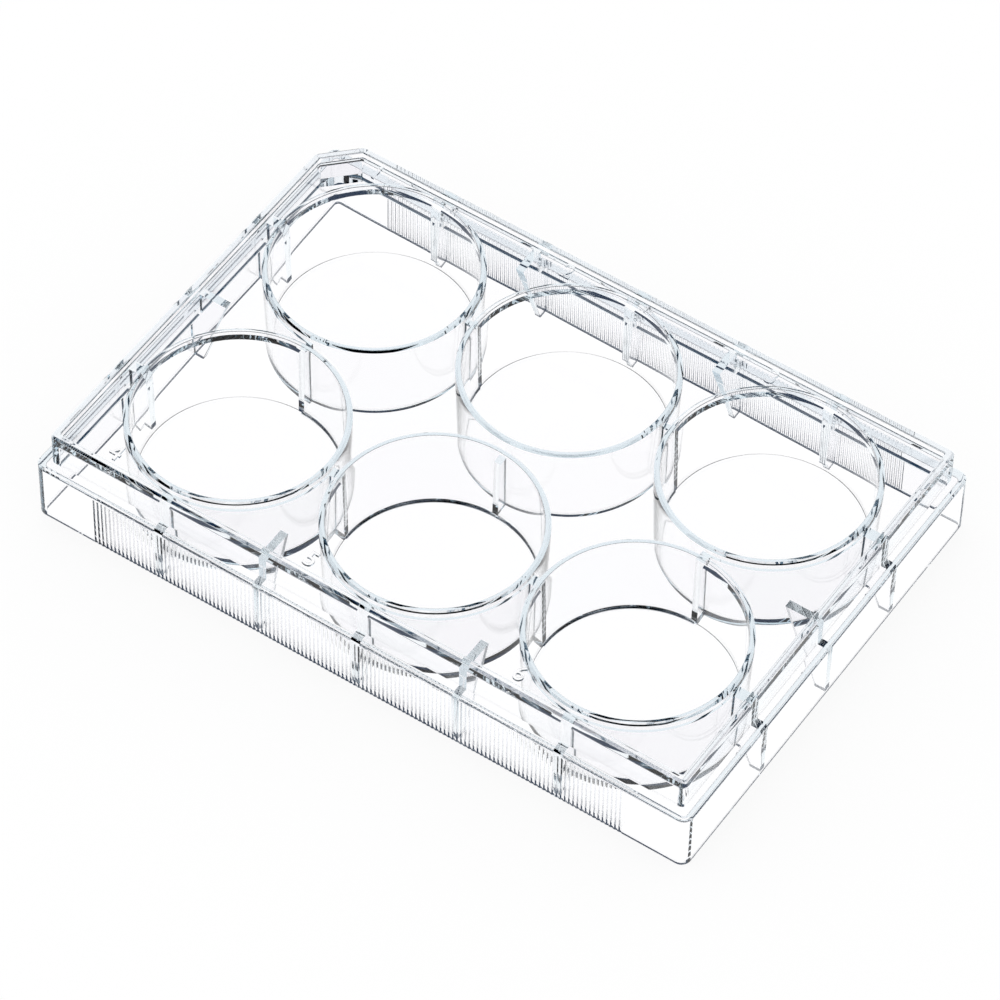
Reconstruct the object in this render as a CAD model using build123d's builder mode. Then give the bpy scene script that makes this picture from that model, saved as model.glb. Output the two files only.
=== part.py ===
from build123d import *
from math import sqrt
import os

# A six-well culture plate: one moulding in clear polystyrene. Millimetres, +Z up, +X along the
# long side. The origin is the centre of the footprint, on the surface that the plate stands on.

# Outer form: a skirt with the standard microplate footprint, and an upper wall set in from it.
plate_length = 127.76
plate_width = 85.48
plate_height = 19.0
skirt_corner_radius = 2.45
ledge_height = 12.4         # top of the skirt, where the lid's edge comes to rest
ledge_width = 2.04          # how far the upper wall stands in from the skirt
ledge_edge_chamfer = 0.3
rim_corner_radius = 0.9
rim_edge_chamfer = 0.35
clip_leg = 6.0              # the clipped corner at the back left, which keys the lid

# The shell is open from below, and its deck lies a little under the rim. Between four wells there
# is no deck but a pocket, open from above, whose floor joins the wells' feet.
skirt_thickness = 1.18
skirt_inner_radius = 3.0
ledge_thickness = 1.4
wall_thickness = 1.32
wall_inner_radius = 0.8
deck_top = 17.65
deck_thickness = 1.25
pocket_floor_height = 2.4

# Wells: tapered cups that hang through the deck and end in a ring level with the rim.
well_pitch = 39.12
well_columns = 3
well_rows = 2
well_mouth_radius = 17.85
well_floor_radius = 17.25
well_floor_height = 2.4
well_floor_thickness = 1.2
well_wall = 1.02
ring_outer_radius = 18.82

# Ribs: from each well to the nearest outer walls, ending in a narrow foot down the skirt.
# Ribs, gussets and webs all thin downwards, so that the mould releases.
rib_reach = 3.5             # inwards from the upper wall's inner face
rib_joint_end = 3.4         # how low a rib still holds on to its well
rib_heel = 1.1              # how far the rib's foot still reaches in at that height
rib_thickness = 2.15

# Gussets: brackets under the deck, halfway between the wells, with a sloping free edge.
gusset_reach = 5.5
gusset_thickness = 2.0

bracket_foot = 0.5          # ribs and gussets stop this far above the skirt's lower edge
bracket_foot_setback = 0.1  # their foot starts this far outside the upper wall's inner face
bracket_foot_thickness = 1.2

# Webs: struts that tie neighbouring wells together where they come closest.
web_half_length = 2.2
web_foot = 1.6
web_thickness = 2.1
web_foot_thickness = 1.4
middle_web_top = 15.3       # the web between the two pockets ends free

# Grip flutes: fine upright grooves in the outer face of both long skirts.
flute_pitch = 0.8
flute_count = 130
flute_depth = 0.2
flute_mouth = 0.6           # width of a groove at the face
flute_top = 11.3
flute_overshoot = 0.1       # the cutter stands this far out of the face

wall_inset = ledge_width + wall_thickness
ledge_underside = ledge_height - ledge_thickness
deck_underside = deck_top - deck_thickness
well_underside = well_floor_height - well_floor_thickness
half_pitch = well_pitch / 2
pockets_length = (well_columns - 1) * well_pitch
pockets_width = (well_rows - 1) * well_pitch
wall_x = plate_length / 2 - wall_inset
wall_y = plate_width / 2 - wall_inset
weld = 0.3                  # how far a rib runs into the walls that it joins


def footprint(inset, corner_radius):
    """The skirt's outline, drawn in by inset."""
    RectangleRounded(plate_length - 2 * inset, plate_width - 2 * inset, corner_radius)


def wall_outline(inset, corner_radius):
    """The upper wall's outline, with its back left corner clipped at 45 degrees."""
    Rectangle(plate_length - 2 * inset, plate_width - 2 * inset)
    back_left = vertices().group_by(Axis.Y)[-1].sort_by(Axis.X)[0]
    chamfer(back_left, clip_leg - (inset - ledge_width) * (2 - sqrt(2)))
    fillet(vertices(), corner_radius)


def upright_taper(foot, top_thickness, foot_thickness):
    """A rib's front view: full thickness at the deck's top, thinner at its foot."""
    lean = (top_thickness - foot_thickness) / (deck_top - foot)
    head = deck_underside + weld
    head_thickness = top_thickness - lean * (deck_top - head)
    with BuildLine() as outline:
        Polyline(
            (-head_thickness / 2, head),
            (head_thickness / 2, head),
            (foot_thickness / 2, foot),
            (-foot_thickness / 2, foot),
            close=True,
        )
    make_face(outline.edges())


def bracket_side(reach, inner_edge):
    """A bracket's side view. Y = 0 is the upper wall's inner face, and the plate lies at -Y.

    The outer edge steps out with the ledge, and inner_edge lists the points of the free edge.
    """
    head = deck_underside + weld
    upper_end = wall_thickness - weld
    lower_end = wall_inset - skirt_thickness + weld
    step = ledge_height - weld
    with BuildLine() as outline:
        Polyline(
            (-reach, head),
            (upper_end, head),
            (upper_end, step),
            (lower_end, step),
            (lower_end, bracket_foot),
            (bracket_foot_setback, bracket_foot),
            *inner_edge,
            close=True,
        )
    make_face(outline.edges())


def flute_cutter_points():
    """A comb outline along the front face: each tooth is the section of one groove."""
    face = -plate_width / 2
    half_mouth = flute_mouth / 2 * (1 + flute_overshoot / flute_depth)
    first = -flute_pitch * (flute_count - 1) / 2
    points = []
    for index in range(flute_count):
        middle = first + index * flute_pitch
        points += [
            (middle - half_mouth, face - flute_overshoot),
            (middle, face + flute_depth),
            (middle + half_mouth, face - flute_overshoot),
        ]
    back = face - 2 * flute_overshoot
    return [(points[0][0], back)] + points + [(points[-1][0], back)]


# A well's outside: a filled cup that widens upwards and ends in the ring.
with BuildPart() as cup:
    with BuildSketch(Plane.XZ):
        with BuildLine():
            Polyline(
                (0, well_underside),
                (well_floor_radius + well_wall, well_underside),
                (ring_outer_radius, deck_underside),
                (ring_outer_radius, plate_height),
                (0, plate_height),
                close=True,
            )
        make_face()
    revolve(axis=Axis.Z)

# A well's inside, which is cut out last, through whatever reaches into it.
with BuildPart() as well_space:
    with BuildSketch(Plane.XZ):
        with BuildLine():
            Polyline(
                (0, well_floor_height),
                (well_floor_radius, well_floor_height),
                (well_mouth_radius, plate_height),
                (well_mouth_radius, plate_height + 1),
                (0, plate_height + 1),
                close=True,
            )
        make_face()
    revolve(axis=Axis.Z)

# A rib that joins a well to the outer wall, seen from its station on the wall.
with BuildPart() as rib:
    with BuildSketch(Plane.XZ):
        upright_taper(bracket_foot, rib_thickness, bracket_foot_thickness)
    extrude(amount=plate_width / 4, both=True)
    with BuildSketch(Plane.YZ):
        bracket_side(rib_reach, [(-rib_heel, rib_joint_end), (-rib_reach, rib_joint_end)])
    extrude(amount=rib_thickness, both=True, mode=Mode.INTERSECT)

# A gusset that holds the deck to the outer wall.
with BuildPart() as gusset:
    with BuildSketch(Plane.XZ):
        upright_taper(bracket_foot, gusset_thickness, bracket_foot_thickness)
    extrude(amount=plate_width / 4, both=True)
    with BuildSketch(Plane.YZ):
        bracket_side(gusset_reach, [])
    extrude(amount=gusset_thickness, both=True, mode=Mode.INTERSECT)

# A web between two wells that are neighbours along X.
with BuildPart() as web:
    with BuildSketch(Plane.YZ):
        upright_taper(web_foot, web_thickness, web_foot_thickness)
    extrude(amount=web_half_length, both=True)

# The cutter for the grip flutes on both long sides.
with BuildPart() as flute_cutter:
    with BuildSketch(Plane.XY):
        with BuildLine():
            Polyline(flute_cutter_points(), close=True)
        make_face()
    extrude(amount=flute_top)
    mirror(about=Plane.XZ)

with BuildPart() as well_plate:
    # Skirt and upper wall as one block, with their top edges broken.
    with BuildSketch(Plane.XY):
        footprint(0, skirt_corner_radius)
    extrude(amount=ledge_height)
    chamfer(faces().sort_by(Axis.Z)[-1].edges(), ledge_edge_chamfer)
    with BuildSketch(Plane.XY.offset(ledge_height)):
        wall_outline(ledge_width, rim_corner_radius)
    extrude(amount=plate_height - ledge_height)
    chamfer(faces().sort_by(Axis.Z)[-1].edges(), rim_edge_chamfer)

    # Hollow from below in two steps, which leaves the ledge, the upper wall and the deck.
    with BuildSketch(Plane.XY):
        footprint(skirt_thickness, skirt_inner_radius)
    extrude(amount=ledge_underside, mode=Mode.SUBTRACT)
    with BuildSketch(Plane.XY.offset(ledge_underside)):
        wall_outline(wall_inset, wall_inner_radius)
    extrude(amount=deck_underside - ledge_underside, mode=Mode.SUBTRACT)
    with BuildSketch(Plane.XY.offset(deck_top)):
        wall_outline(wall_inset, wall_inner_radius)
    extrude(amount=plate_height - deck_top, mode=Mode.SUBTRACT)

    # Webs where two wells come closest.
    with GridLocations(well_pitch, well_pitch, well_columns - 1, well_rows):
        add(web.part)
    for column_x in (-well_pitch, 0, well_pitch):
        with Locations(Location((column_x, 0, 0), (0, 0, 90))):
            add(web.part)

    # The pockets take the deck away between the outer webs, and the top of the middle one.
    with BuildSketch(Plane.XY.offset(middle_web_top)):
        Rectangle(pockets_length - web_thickness, pockets_width - web_thickness)
    extrude(amount=plate_height - middle_web_top, mode=Mode.SUBTRACT)
    with BuildSketch(Plane.XY.offset(well_underside)):
        Rectangle(pockets_length, pockets_width)
    extrude(amount=pocket_floor_height - well_underside)

    # Cups.
    with GridLocations(well_pitch, well_pitch, well_columns, well_rows):
        add(cup.part)

    # Ribs and gussets stand on the inner face of the upper wall, all the way round.
    for side_y, turn in ((wall_y, 0), (-wall_y, 180)):
        for column_x in (-well_pitch, 0, well_pitch):
            with Locations(Location((column_x, side_y, 0), (0, 0, turn))):
                add(rib.part)
        for between_x in (-half_pitch, half_pitch):
            with Locations(Location((between_x, side_y, 0), (0, 0, turn))):
                add(gusset.part)
    for side_x, turn in ((wall_x, -90), (-wall_x, 90)):
        for row_y in (-half_pitch, half_pitch):
            with Locations(Location((side_x, row_y, 0), (0, 0, turn))):
                add(rib.part)
        with Locations(Location((side_x, 0, 0), (0, 0, turn))):
            add(gusset.part)

    with GridLocations(well_pitch, well_pitch, well_columns, well_rows):
        add(well_space.part, mode=Mode.SUBTRACT)
    add(flute_cutter.part, mode=Mode.SUBTRACT)

os.makedirs("parts", exist_ok=True)
well_plate.part.label = "well_plate"
export_step(well_plate.part, "parts/well_plate.step")
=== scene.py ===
from math import cos, hypot, radians, sin, sqrt, tan

import bmesh
import bpy
from mathutils import Matrix, Vector


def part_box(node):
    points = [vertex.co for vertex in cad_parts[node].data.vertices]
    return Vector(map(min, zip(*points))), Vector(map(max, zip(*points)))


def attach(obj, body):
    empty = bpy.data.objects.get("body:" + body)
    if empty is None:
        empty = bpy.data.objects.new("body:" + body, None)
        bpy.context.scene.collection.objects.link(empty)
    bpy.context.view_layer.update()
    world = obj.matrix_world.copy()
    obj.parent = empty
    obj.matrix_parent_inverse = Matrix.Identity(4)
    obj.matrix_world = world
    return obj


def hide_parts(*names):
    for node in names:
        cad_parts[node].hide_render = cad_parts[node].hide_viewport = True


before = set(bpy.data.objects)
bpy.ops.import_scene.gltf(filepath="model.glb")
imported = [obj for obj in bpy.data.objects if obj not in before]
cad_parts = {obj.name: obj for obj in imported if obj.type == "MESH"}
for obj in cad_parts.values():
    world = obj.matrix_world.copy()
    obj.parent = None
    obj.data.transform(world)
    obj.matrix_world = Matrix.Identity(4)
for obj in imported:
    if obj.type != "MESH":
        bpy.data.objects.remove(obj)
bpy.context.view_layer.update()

# A six-well culture plate, moulded in one piece in clear polystyrene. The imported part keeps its
# place in the frame, and a finer plate with worked edges and raised numerals is shown for it.

mm = 0.001

# Sizes in millimetres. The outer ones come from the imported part.
plate_low, plate_high = (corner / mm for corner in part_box("well_plate"))
plate_length = plate_high.x - plate_low.x
plate_width = plate_high.y - plate_low.y
plate_height = plate_high.z

skirt_corner_radius = 1.8
skirt_thickness = 1.18
skirt_inner_radius = 0.8
ledge_height = 12.4
ledge_width = 2.04
ledge_thickness = 1.4
ledge_edge_chamfer = 0.35
foot_edge_radius = 0.35
wall_thickness = 1.32
wall_inner_radius = 0.4
rim_corner_radius = 0.9
rim_edge_chamfer = 0.35
rim_inner_edge_radius = 0.3
clip_leg = 6.0
inner_corner_radius = 0.25      # between the walls and the undersides of ledge and deck
deck_top = 17.65
deck_thickness = 1.25
pocket_floor_height = 2.6       # between four wells, where there is no deck

well_pitch = 39.12
well_mouth_radius = 17.85
well_floor_radius = 17.25
well_floor_height = 2.4
well_floor_thickness = 1.2
well_wall = 1.02
well_foot_radius = 0.6
well_corner_radius = 0.6
ring_outer_radius = 18.82
ring_outer_edge_chamfer = 0.42
ring_inner_edge_radius = 0.12

rib_reach = 3.5
rib_joint_end = 3.4
rib_heel = 1.1
rib_thickness = 2.15
gusset_reach = 5.5
gusset_thickness = 1.5
bracket_foot = 0.5
bracket_foot_setback = 0.1
bracket_foot_thickness = 1.2
bracket_edge_radius = 0.15
web_half_length = 2.2
web_foot = 1.6
web_thickness = 1.45
web_foot_thickness = 1.1
middle_web_top = 15.3

flute_pitch = 0.8
flute_count = 130
flute_depth = 0.22
flute_mouth = 0.6
flute_top = 11.3

numeral_height = 3.1
numeral_relief = 0.3
numeral_edge_bevel = 0.06
digit_share = 0.72              # a digit's height, as a share of its text's size
numeral_columns = (-51.2, -12.4, 28.1)
numeral_rows = (37.7, -36.8)    # the back row of wells is 1 to 3, the front row 4 to 6

wall_inset = ledge_width + wall_thickness
ledge_underside = ledge_height - ledge_thickness
deck_underside = deck_top - deck_thickness
well_underside = well_floor_height - well_floor_thickness
half_pitch = well_pitch / 2
pocket_x, pocket_y = well_pitch, half_pitch
wall_x = plate_length / 2 - wall_inset
wall_y = plate_width / 2 - wall_inset
weld = 0.3                      # how far one piece runs into the next before they are joined
clear = 1.0                     # how far a cutter stands out of what it cuts
round_segments = 160            # sides of a turned piece
close_to = 0.01                 # how near a corner lies to the place that it is picked by
finest_edge = 0.001             # anything shorter is cleared away


# Hand tools. Those that pick, round, draw out, shift or split work on the piece that is open in
# edit mode.

def leave_edit_mode():
    """Closes the piece that is open in edit mode, if there is one."""
    if bpy.context.mode != "OBJECT":
        bpy.ops.object.mode_set(mode="OBJECT")


def choose(piece):
    """Selects the piece and nothing else."""
    leave_edit_mode()
    bpy.ops.object.select_all(action="DESELECT")
    piece.select_set(True)
    bpy.context.view_layer.objects.active = piece


def add(primitive, name, **how):
    """Adds a primitive on its own, puts its place in its mesh and opens it in edit mode."""
    leave_edit_mode()
    bpy.ops.object.select_all(action="DESELECT")
    primitive(**how)
    piece = bpy.context.object
    piece.name = name
    bpy.ops.object.transform_apply(location=True, rotation=True, scale=True)
    bpy.ops.object.mode_set(mode="EDIT")
    return piece


def box(name, low, high):
    """A box between two opposite corners."""
    low, high = Vector(low), Vector(high)
    return add(
        bpy.ops.mesh.primitive_cube_add, name,
        size=1, location=(low + high) / 2 * mm, scale=(high - low) * mm,
    )


def at(**place):
    """A test for corners that lie at an x, y or z, at a radius r, or at a wide |x| or deep |y|."""
    def test(corner):
        found = {
            "x": corner.x, "y": corner.y, "z": corner.z,
            "r": hypot(corner.x, corner.y), "wide": abs(corner.x), "deep": abs(corner.y),
        }
        return all(abs(found[name] - value) < close_to for name, value in place.items())
    return test


def pick(kind, wanted, upright=False):
    """Selects the vertices, edges or faces whose corners all pass the test.

    With upright, an edge is picked only if it stands straight up.
    """
    kinds = ("VERT", "EDGE", "FACE")
    bpy.context.tool_settings.mesh_select_mode = [kind == each for each in kinds]
    bpy.ops.mesh.select_all(action="DESELECT")
    mesh = bpy.context.object.data
    shape = bmesh.from_edit_mesh(mesh)
    parts = {"VERT": shape.verts, "EDGE": shape.edges, "FACE": shape.faces}[kind]
    for part in parts:
        corners = [corner.co / mm for corner in ([part] if kind == "VERT" else part.verts)]
        run = corners[0] - corners[-1]
        leans = upright and hypot(run.x, run.y) > close_to
        part.select_set(not leans and all(wanted(corner) for corner in corners))
    shape.select_flush_mode()
    bmesh.update_edit_mesh(mesh)


def round_picked(radius, turn=90, segments=5, finish=-1):
    """Rounds the picked edges, where the surface turns by that angle. One segment is a chamfer."""
    offset = radius * tan(radians(turn / 2)) * mm
    bpy.ops.mesh.bevel(
        offset=offset, offset_type="OFFSET", segments=segments, affect="EDGES", material=finish
    )


def draw_out(x=0, y=0, z=0):
    """Extrudes the picked faces by a distance."""
    bpy.ops.mesh.extrude_region_move(TRANSFORM_OT_translate={"value": (x * mm, y * mm, z * mm)})


def shift(x=0, y=0, z=0):
    """Moves what is picked."""
    bpy.ops.transform.translate(value=(x * mm, y * mm, z * mm))


def split_at(point, normal):
    """Cuts new edges all round the piece where a plane crosses it."""
    bpy.ops.mesh.select_all(action="SELECT")
    bpy.ops.mesh.bisect(plane_co=Vector(point) * mm, plane_no=normal)


def turned(name, profile):
    """A solid turned about the Z axis: a disc drawn up through (radius, height) points."""
    radius, height = profile[0]
    piece = add(
        bpy.ops.mesh.primitive_circle_add, name,
        vertices=round_segments, radius=radius * mm, fill_type="NGON", location=(0, 0, height * mm),
    )
    for next_radius, next_height in profile[1:]:
        draw_out(z=next_height - height)
        growth = next_radius / radius
        bpy.ops.transform.resize(value=(growth, growth, 1), center_override=(0, 0, 0))
        radius, height = next_radius, next_height
    bpy.ops.mesh.select_all(action="SELECT")
    bpy.ops.mesh.normals_make_consistent(inside=False)
    return piece


def copied(piece, x, y, turn=0):
    """A copy of the piece with its own mesh, turned about Z and moved to its place."""
    choose(piece)
    bpy.ops.object.duplicate()
    copy = bpy.context.object
    there = Matrix.Translation((x * mm, y * mm, 0))
    copy.matrix_world = there @ Matrix.Rotation(radians(turn), 4, "Z")
    bpy.ops.object.transform_apply(location=True, rotation=True, scale=True)
    return copy


def combine(body, operation, *pieces):
    """Unites the pieces with the body, or cuts them out of it, and clears them away."""
    leave_edit_mode()
    for each in (body, *pieces):
        if not each.data.materials:
            finish_with(each, polished)
    bpy.context.view_layer.objects.active = body
    for piece in pieces:
        joint = body.modifiers.new("joint", "BOOLEAN")
        joint.operation = operation
        joint.solver = "MANIFOLD"
        joint.object = piece
        bpy.ops.object.modifier_apply(modifier=joint.name)
        bpy.data.objects.remove(piece)


# Finishes.

class Value:
    """A node's output. Arithmetic on it adds Math nodes to its shader."""

    def __init__(self, shader, socket):
        self.shader, self.socket = shader, socket

    def math(self, operation, first, second):
        return self.shader.node("Math", {"operation": operation}, {0: first, 1: second})

    def __add__(self, other):
        return self.math("ADD", self, other)

    def __radd__(self, other):
        return self.math("ADD", other, self)

    def __sub__(self, other):
        return self.math("SUBTRACT", self, other)

    def __rsub__(self, other):
        return self.math("SUBTRACT", other, self)

    def __mul__(self, other):
        return self.math("MULTIPLY", self, other)

    def __rmul__(self, other):
        return self.math("MULTIPLY", other, self)


# A Mix node has inputs of the same names for numbers, vectors and colours, so its colours go by
# their places.
first_colour, second_colour, mixed_colour = 6, 7, 2
white = (1, 1, 1, 1)


class Shader:
    """The node tree of a material or of the world, empty at first."""

    def __init__(self, owner):
        owner.use_nodes = True
        self.tree = owner.node_tree
        self.tree.nodes.clear()

    def node(self, kind, settings=None, inputs=None, output=0):
        """Adds a node, sets it up, fills or links its inputs, and gives the output asked for."""
        node = self.tree.nodes.new("ShaderNode" + kind)
        for name, setting in (settings or {}).items():
            setattr(node, name, setting)
        for name, given in (inputs or {}).items():
            if isinstance(given, Value):
                self.tree.links.new(given.socket, node.inputs[name])
            else:
                node.inputs[name].default_value = given
        return Value(self, node.outputs[output]) if node.outputs else None


refraction = 1.59
flow_scale, grain_scale = 70, 1800      # of the melt's flow and of the surface's grain
ripple_depth = 0.05                     # millimetres
depth_colour, depth_density = (0.3, 0.55, 0.68, 1), 20.0    # the blue that shows along thick edges


def clear_polystyrene(name, haze, wave, tint):
    """Clear moulded polystyrene.

    The haze is its roughness, and the wave is the strength of the ripple from the melt's flow.
    """
    material = bpy.data.materials.new(name)
    shader = Shader(material)
    place = shader.node("TexCoord", output="Object")
    flow = shader.node("TexNoise", inputs={"Vector": place, "Scale": flow_scale, "Detail": 2})
    grain = shader.node("TexNoise", inputs={"Vector": place, "Scale": grain_scale, "Detail": 3})
    colour = shader.node(
        "Mix", {"data_type": "RGBA"},
        {"Factor": flow, first_colour: tint, second_colour: white}, output=mixed_colour,
    )
    ripple = shader.node("Bump", inputs={
        "Height": flow, "Strength": wave, "Distance": ripple_depth * mm,
    })
    surface = shader.node("BsdfPrincipled", inputs={
        "Base Color": colour, "Roughness": haze * grain, "Normal": ripple,
        "IOR": refraction, "Transmission Weight": 1, "Specular Tint": (0.3, 0.3, 0.3, 1),
    })
    body = shader.node("VolumeAbsorption", inputs={"Color": depth_colour, "Density": depth_density})
    shader.node("OutputMaterial", inputs={"Surface": surface, "Volume": body})
    return material


polished = clear_polystyrene(
    "polished_polystyrene", haze=0.004, wave=0.12, tint=(1, 0.985, 0.995, 1)
)
matt = clear_polystyrene("matt_polystyrene", haze=0.6, wave=0.8, tint=(0.8, 0.9, 0.94, 1))
finishes = [polished, matt]


def finish_with(piece, finish):
    """Gives the piece both finishes, and covers it with one of them."""
    leave_edit_mode()
    for each in finishes:
        piece.data.materials.append(each)
    for face in piece.data.polygons:
        face.material_index = finishes.index(finish)


# The plate's walls.

def corner_block(name, inset, foot, top, corner_radius, clipped=True):
    """A block with the plate's outline drawn in by inset. Its back left corner may be clipped."""
    x, y = plate_length / 2 - inset, plate_width / 2 - inset
    leg = clip_leg - (inset - ledge_width) * (2 - sqrt(2)) if clipped else 0
    piece = box(name, (-x, -y, foot), (x, y, top))
    if clipped:
        pick("EDGE", at(x=-x, y=y), upright=True)
        bpy.ops.mesh.bevel(offset=leg * mm, offset_type="OFFSET", segments=1, affect="EDGES")
    pick("EDGE", at(wide=x, deep=y), upright=True)
    round_picked(corner_radius, segments=8)
    if clipped:
        for edge in (at(x=-x, y=y - leg), at(x=leg - x, y=y)):
            pick("EDGE", edge, upright=True)
            round_picked(corner_radius, turn=45, segments=4)
    return piece


def make_walls():
    """Skirt, ledge, upper wall and deck."""
    walls = corner_block("moulded_plate", 0, 0, ledge_height, skirt_corner_radius, clipped=False)
    pick("EDGE", at(z=ledge_height))
    round_picked(ledge_edge_chamfer, segments=1)
    pick("EDGE", at(z=0))
    round_picked(foot_edge_radius)
    upper = corner_block(
        "upper_block", ledge_width, ledge_height / 2, plate_height, rim_corner_radius
    )
    pick("EDGE", at(z=plate_height))
    round_picked(rim_edge_chamfer, segments=1)
    combine(walls, "UNION", upper)

    under_skirt = corner_block(
        "under_skirt", skirt_thickness, -clear, ledge_underside, skirt_inner_radius, clipped=False
    )
    pick("EDGE", at(z=ledge_underside))
    round_picked(inner_corner_radius, segments=3)
    under_deck = corner_block(
        "under_deck", wall_inset, ledge_underside - clear, deck_underside, wall_inner_radius
    )
    pick("EDGE", at(z=deck_underside))
    round_picked(inner_corner_radius, segments=3)
    over_deck = corner_block(
        "over_deck", wall_inset, deck_top, plate_height + clear, wall_inner_radius
    )
    pick("EDGE", at(z=deck_top))
    round_picked(inner_corner_radius, segments=3)
    combine(walls, "DIFFERENCE", under_skirt, under_deck, over_deck)

    bpy.ops.object.mode_set(mode="EDIT")
    pick("EDGE", is_inner_lip)
    round_picked(rim_inner_edge_radius, segments=4)
    return walls


def is_inner_lip(corner):
    """The upper wall's inner edge, all round the deck."""
    within = abs(corner.x) < wall_x + close_to and abs(corner.y) < wall_y + close_to
    return within and abs(corner.z - plate_height) < close_to


# Ribs, gussets and webs. Ribs and gussets are drawn with the upper wall's inner face at y = 0 and
# the plate at -y.

def thin_downwards(foot, top_thickness, foot_thickness):
    """Narrows the open piece evenly from its full thickness at the deck's top to its foot."""
    lean = (1 - foot_thickness / top_thickness) / (deck_top - foot)
    mesh = bmesh.from_edit_mesh(bpy.context.object.data)
    heights = {round(vert.co.z / mm, 3) for vert in mesh.verts}
    for height in heights:
        pick("VERT", at(z=height))
        narrowing = 1 - lean * (deck_top - height)
        bpy.ops.transform.resize(value=(narrowing, 1, 1), center_override=(0, 0, 0))


def widen_under_ledge(outer, skirt_side, step):
    """Draws a bracket's outer side on to the skirt, below the height where the ledge begins."""
    split_at((0, 0, step), (0, 0, 1))
    at_outer_side = at(y=outer)
    pick("FACE", lambda corner: at_outer_side(corner) and corner.z < step + close_to)
    draw_out(y=skirt_side - outer)


def make_rib():
    """A rib from a well to the wall, whose lower end narrows to a foot down the skirt."""
    half = rib_thickness / 2
    outer, skirt_side = wall_thickness - weld, wall_inset - skirt_thickness + weld
    step, head = ledge_height - weld, deck_underside + weld
    rib = box("rib", (-half, -rib_reach, rib_joint_end), (half, outer, head))
    widen_under_ledge(outer, skirt_side, step)
    split_at((0, -rib_heel, 0), (0, 1, 0))
    at_joint_end = at(z=rib_joint_end)
    pick("FACE", lambda corner: at_joint_end(corner) and corner.y > -rib_heel - close_to)
    draw_out(z=bracket_foot - rib_joint_end)
    pick("VERT", at(y=-rib_heel, z=bracket_foot))
    shift(y=rib_heel + bracket_foot_setback)
    thin_downwards(bracket_foot, rib_thickness, bracket_foot_thickness)
    return rib


def make_gusset():
    """A bracket under the deck, halfway between two wells, with a sloping free edge."""
    half = gusset_thickness / 2
    outer, skirt_side = wall_thickness - weld, wall_inset - skirt_thickness + weld
    step, head = ledge_height - weld, deck_underside + weld
    gusset = box("gusset", (-half, bracket_foot_setback, bracket_foot), (half, outer, head))
    widen_under_ledge(outer, skirt_side, step)
    slope = (gusset_reach + bracket_foot_setback) / (head - bracket_foot)
    for height in (step, head):
        pick("VERT", at(y=bracket_foot_setback, z=height))
        shift(y=-slope * (height - bracket_foot))
    thin_downwards(bracket_foot, gusset_thickness, bracket_foot_thickness)
    return gusset


def make_web():
    """A strut along Y between two wells that are neighbours along that way."""
    half, head = web_thickness / 2, deck_underside + weld
    web = box("web", (-half, -web_half_length, web_foot), (half, web_half_length, head))
    thin_downwards(web_foot, web_thickness, web_foot_thickness)
    return web


def open_pockets(walls):
    """Takes the deck away between the outer webs, and joins the wells' feet with a floor."""
    x, y = pocket_x - web_thickness / 2, pocket_y - web_thickness / 2
    gap = box("gap", (-x, -y, middle_web_top), (x, y, plate_height + clear))
    combine(walls, "DIFFERENCE", gap)
    pocket_floor = box(
        "pocket_floor",
        (-pocket_x, -pocket_y, well_underside), (pocket_x, pocket_y, pocket_floor_height),
    )
    combine(walls, "UNION", pocket_floor)


def finish_bracket(bracket):
    """Rounds a rib's or gusset's free edges, and makes the narrow faces between them matt."""
    finish_with(bracket, polished)
    for face in bracket.data.polygons:
        is_flank = abs(face.normal.x) > 0.5
        if not is_flank and face.center.y < bracket_foot_setback * mm:
            face.material_index = finishes.index(matt)
    choose(bracket)
    bpy.ops.object.mode_set(mode="EDIT")
    pick("EDGE", is_free_edge)
    round_picked(bracket_edge_radius, segments=3, finish=finishes.index(polished))


def is_free_edge(corner):
    """An edge of a rib or gusset inside the shell, and not in the deck."""
    return corner.y < bracket_foot_setback + close_to and corner.z < deck_underside


def places_on_wall(along_x, along_y):
    """Stations on the upper wall's inner face, with the turn that faces a bracket to each."""
    for x in along_x:
        yield from ((x, wall_y, 0), (x, -wall_y, 180))
    for y in along_y:
        yield from ((wall_x, y, -90), (-wall_x, y, 90))


def add_brackets(walls):
    """Sets every rib, gusset and web in the shell."""
    rib, gusset, web = make_rib(), make_gusset(), make_web()
    for piece in (rib, gusset):
        finish_bracket(piece)
    rib_places = places_on_wall((-well_pitch, 0, well_pitch), (-half_pitch, half_pitch))
    gusset_places = places_on_wall((-half_pitch, half_pitch), (0,))
    web_places = [(x, y, 90) for x in (-half_pitch, half_pitch) for y in (-half_pitch, half_pitch)]
    web_places += [(x, 0, 0) for x in (-well_pitch, 0, well_pitch)]
    for piece, places in ((rib, rib_places), (gusset, gusset_places), (web, web_places)):
        combine(walls, "UNION", *[copied(piece, *place) for place in places])
        bpy.data.objects.remove(piece)


# Wells.

well_centres = [(x, y) for y in (half_pitch, -half_pitch) for x in (-well_pitch, 0, well_pitch)]


def make_cup():
    """One well: a cup drawn up from its underside, over the ring and down to its floor."""
    cup = turned("cup", [
        (well_floor_radius + well_wall, well_underside),
        (ring_outer_radius, deck_underside + weld),
        (ring_outer_radius, plate_height),
        (well_mouth_radius, plate_height),
        (well_floor_radius, well_floor_height),
    ])
    for radius, height, edge_radius, segments in (
        (well_floor_radius + well_wall, well_underside, well_foot_radius, 5),
        (ring_outer_radius, plate_height, ring_outer_edge_chamfer, 1),
        (well_mouth_radius, plate_height, ring_inner_edge_radius, 5),
        (well_floor_radius, well_floor_height, well_corner_radius, 5),
    ):
        pick("EDGE", at(r=radius, z=height))
        round_picked(edge_radius, segments=segments)
    return cup


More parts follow.
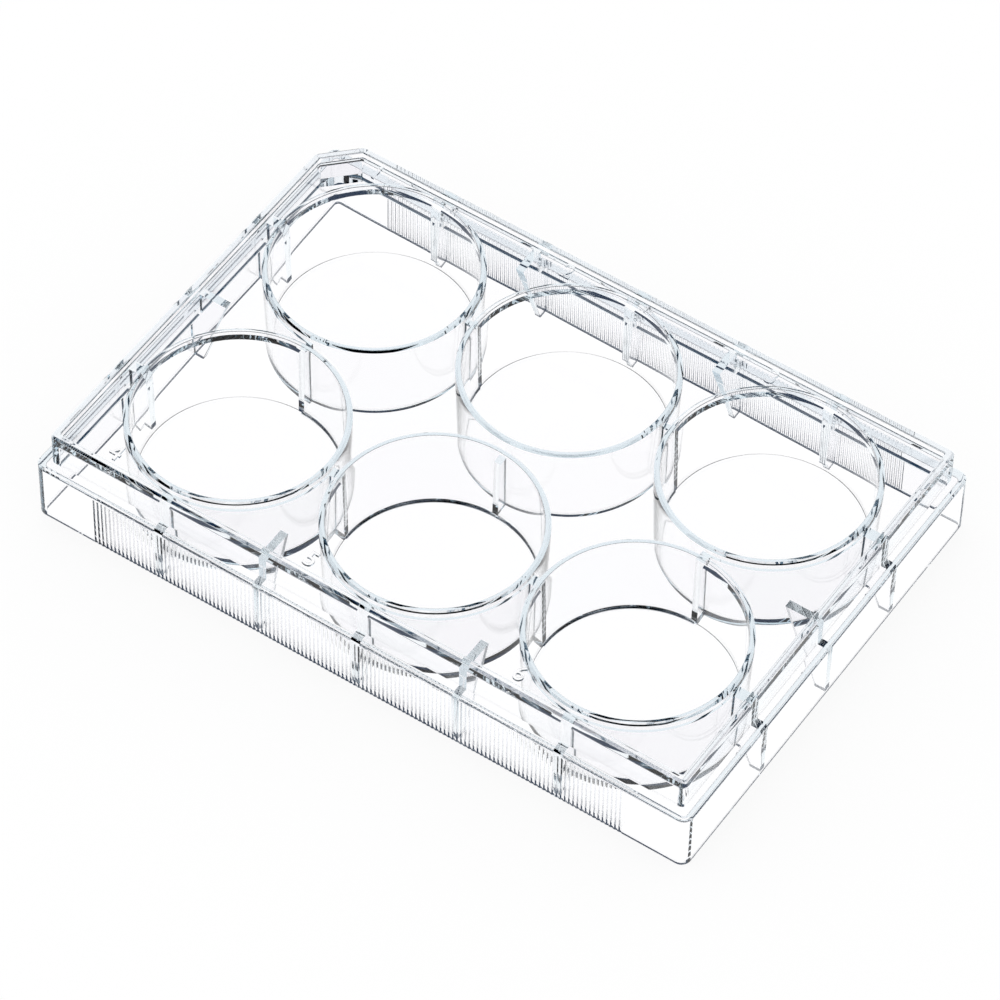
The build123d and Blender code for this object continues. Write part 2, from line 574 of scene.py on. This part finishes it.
def add_wells(walls):
    """Opens the shell at each well, to the middle of the cup's wall, and sets the cups in."""
    cup = make_cup()
    opening = turned("opening", [
        (well_floor_radius + well_wall / 2, well_underside - clear),
        ((well_mouth_radius + ring_outer_radius) / 2, plate_height + clear),
    ])
    combine(walls, "DIFFERENCE", *[copied(opening, x, y) for x, y in well_centres])
    combine(walls, "UNION", *[copied(cup, x, y) for x, y in well_centres])
    for piece in (cup, opening):
        bpy.data.objects.remove(piece)


# Grip flutes and numerals.

def cut_flutes(walls):
    """Fine upright grooves, round in section, along the outer face of both long skirts."""
    radius = (flute_mouth ** 2 / 4 + flute_depth ** 2) / (2 * flute_depth)
    groove = add(
        bpy.ops.mesh.primitive_cylinder_add, "groove",
        vertices=24, radius=radius * mm, depth=(flute_top + clear) * mm,
        location=(
            -flute_pitch * (flute_count - 1) / 2 * mm,
            -(plate_width / 2 + radius - flute_depth) * mm,
            (flute_top - clear) / 2 * mm,
        ),
    )
    bpy.ops.object.mode_set(mode="OBJECT")
    comb = groove.modifiers.new("comb", "ARRAY")
    comb.count = flute_count
    comb.use_relative_offset = False
    comb.use_constant_offset = True
    comb.constant_offset_displace = (flute_pitch * mm, 0, 0)
    bpy.ops.object.modifier_apply(modifier=comb.name)
    combine(walls, "DIFFERENCE", copied(groove, 0, 0, 180), groove)


def add_numerals(walls):
    """The wells' numbers, 1 to 6, raised on the deck and read from the front."""
    places = [(x, y) for y in numeral_rows for x in numeral_columns]
    for number, (x, y) in enumerate(places, start=1):
        bpy.ops.object.select_all(action="DESELECT")
        bpy.ops.object.text_add(location=(x * mm, y * mm, deck_top * mm))
        numeral = bpy.context.object
        numeral.name = f"numeral_{number}"
        words = numeral.data
        words.body = str(number)
        words.align_x, words.align_y = "CENTER", "CENTER"
        words.size = numeral_height / digit_share * mm
        words.extrude = numeral_relief * mm
        words.bevel_depth = numeral_edge_bevel * mm
        words.resolution_u = 6
        bpy.ops.object.convert(target="MESH")
        bpy.ops.object.transform_apply(location=True, rotation=True, scale=True)
        bpy.ops.object.mode_set(mode="EDIT")
        bpy.ops.mesh.select_all(action="SELECT")
        bpy.ops.mesh.remove_doubles(threshold=finest_edge * mm)
        bpy.ops.mesh.normals_make_consistent(inside=False)
        combine(walls, "UNION", numeral)


def finish_surface(plate):
    """Clears away faces with no area, shades curved faces smooth, and keeps broad faces flat."""
    choose(plate)
    bpy.ops.object.mode_set(mode="EDIT")
    bpy.ops.mesh.select_all(action="SELECT")
    bpy.ops.mesh.dissolve_degenerate(threshold=finest_edge * mm)
    bpy.ops.object.mode_set(mode="OBJECT")
    bpy.ops.object.shade_smooth_by_angle(angle=radians(30))
    even = plate.modifiers.new("even", "WEIGHTED_NORMAL")
    even.keep_sharp = True
    even.weight = 100
    bpy.ops.object.modifier_apply(modifier=even.name)


plate = make_walls()
add_brackets(plate)
open_pockets(plate)
add_wells(plate)
cut_flutes(plate)
add_numerals(plate)
finish_surface(plate)
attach(plate, "root")
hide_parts("well_plate")


# The stage: a glowing white table in a dark room, with a painted pool of light on the table around
# the plate.

table_width, table_drop = 8, 0.02       # in metres, and in millimetres below the plate's foot


def light_table():
    """A table that glows white to the eye and keeps a faint shadow; in and through the plastic it
    shows a painted pool of light, past white by the plate and dim far from it.
    """
    painted_pool_full_within, painted_pool_end = 0.5, 1.5       # the painted pool of light fades with the distance from the plate
    # strengths of the painted pool of light: past white by the plate, dim far away
    painted_pool_peak, painted_pool_far = 1.06, 0.1
    glow_to_the_eye = 0.9                       # the rest is paint, which takes the shadow
    material = bpy.data.materials.new("light_table")
    shader = Shader(material)
    seen = shader.node("LightPath", output="Is Camera Ray")
    mirrored = shader.node("LightPath", output="Is Glossy Ray")
    through = shader.node("LightPath", output="Is Transmission Ray")
    place = shader.node("TexCoord", output="Object")
    away = shader.node("VectorMath", {"operation": "LENGTH"}, {0: place}, output="Value")
    painted_pool = shader.node("MapRange", inputs={
        "Value": away, "From Min": painted_pool_full_within, "From Max": painted_pool_end,
        "To Min": painted_pool_peak, "To Max": painted_pool_far,
    })
    # Painted light: in and through the plastic, the table glows past white by the plate and fades
    # with the distance from it
    white_glow_with_painted_pool = shader.node("Emission", inputs={"Strength": seen + (1 - seen) * painted_pool})
    paint = shader.node("BsdfDiffuse", inputs={"Color": (0.9, 0.9, 0.9, 1)})
    share = shader.node(
        "Math", {"operation": "MINIMUM"}, {0: seen * glow_to_the_eye + mirrored + through, 1: 1.0}
    )
    table = shader.node("MixShader", inputs={0: share, 1: paint, 2: white_glow_with_painted_pool})
    shader.node("OutputMaterial", inputs={"Surface": table})
    return material


bpy.ops.object.select_all(action="DESELECT")
bpy.ops.mesh.primitive_plane_add(size=table_width, location=(0, 0, -table_drop * mm))
floor = bpy.context.object
floor.name = "floor"
bpy.ops.object.transform_apply(location=True, rotation=True, scale=True)
floor.data.materials.append(light_table())


def light_room():
    """The room, white to the eye and dark above the table in the plastic, and one soft lamp."""
    horizon, overhead = (0.05, 0.12, 0.18, 1), (0.01, 0.028, 0.065, 1)
    world = bpy.data.worlds.new("studio")
    bpy.context.scene.world = world
    shader = Shader(world)
    way = shader.node("TexCoord", output="Generated")
    height = shader.node("SeparateXYZ", inputs={0: way}, output="Z")
    above_table = shader.node("MapRange", inputs={
        "Value": height, "From Min": -0.02, "From Max": 0.0, "To Min": 0, "To Max": 1,
    })
    mirrored = shader.node("LightPath", output="Is Glossy Ray")
    through = shader.node("LightPath", output="Is Transmission Ray")
    upwards = shader.node("MapRange", inputs={
        "Value": height, "From Min": 0, "From Max": 0.4, "To Min": 0, "To Max": 1,
    })
    room = shader.node(
        "Mix", {"data_type": "RGBA"},
        {"Factor": upwards, first_colour: horizon, second_colour: overhead}, output=mixed_colour,
    )
    colour = shader.node(
        "Mix", {"data_type": "RGBA"},
        {"Factor": above_table * (mirrored + through), first_colour: white, second_colour: room},
        output=mixed_colour,
    )
    light = shader.node("Background", inputs={"Color": colour})
    shader.node("OutputWorld", inputs={"Surface": light})

    data = bpy.data.lights.new("soft_box", "AREA")
    data.shape = "SQUARE"
    data.size = 0.7
    data.energy = 2.0
    lamp = bpy.data.objects.new("soft_box", data)
    lamp.location = (-0.3, 0.1, 1.2)
    lamp.rotation_euler = Vector(lamp.location).to_track_quat("Z", "Y").to_euler()
    bpy.context.scene.collection.objects.link(lamp)


light_room()


def set_camera():
    """The camera, above the front right of the plate and looking down at it."""
    azimuth, elevation, roll = radians(-56.914), radians(51.229), radians(1.235)
    distance = 0.993299                         # metres
    aim_right, aim_up = -0.202, 2.684           # millimetres off the plate's origin
    frame_width, lens_per_width = 36, 5.998742
    toward = Vector((cos(elevation) * cos(azimuth), cos(elevation) * sin(azimuth), sin(elevation)))
    right = Vector((-sin(azimuth), cos(azimuth), 0))
    up = toward.cross(right)
    turned_right = right * cos(roll) + up * sin(roll)
    turned_up = up * cos(roll) - right * sin(roll)
    aim = (turned_right * aim_right + turned_up * aim_up) * mm
    data = bpy.data.cameras.new("camera")
    data.sensor_width = frame_width
    data.lens = lens_per_width * frame_width
    data.clip_start = 0.01
    data.clip_end = 20
    camera = bpy.data.objects.new("camera", data)
    turn = Matrix((turned_right, turned_up, toward)).transposed().to_4x4()
    camera.matrix_world = Matrix.Translation(aim + toward * distance) @ turn
    bpy.context.scene.collection.objects.link(camera)
    bpy.context.scene.camera = camera


set_camera()
scene = bpy.context.scene
scene.view_settings.view_transform = "Standard"
scene.cycles.max_bounces = 64
scene.cycles.transmission_bounces = 64
scene.cycles.glossy_bounces = 16
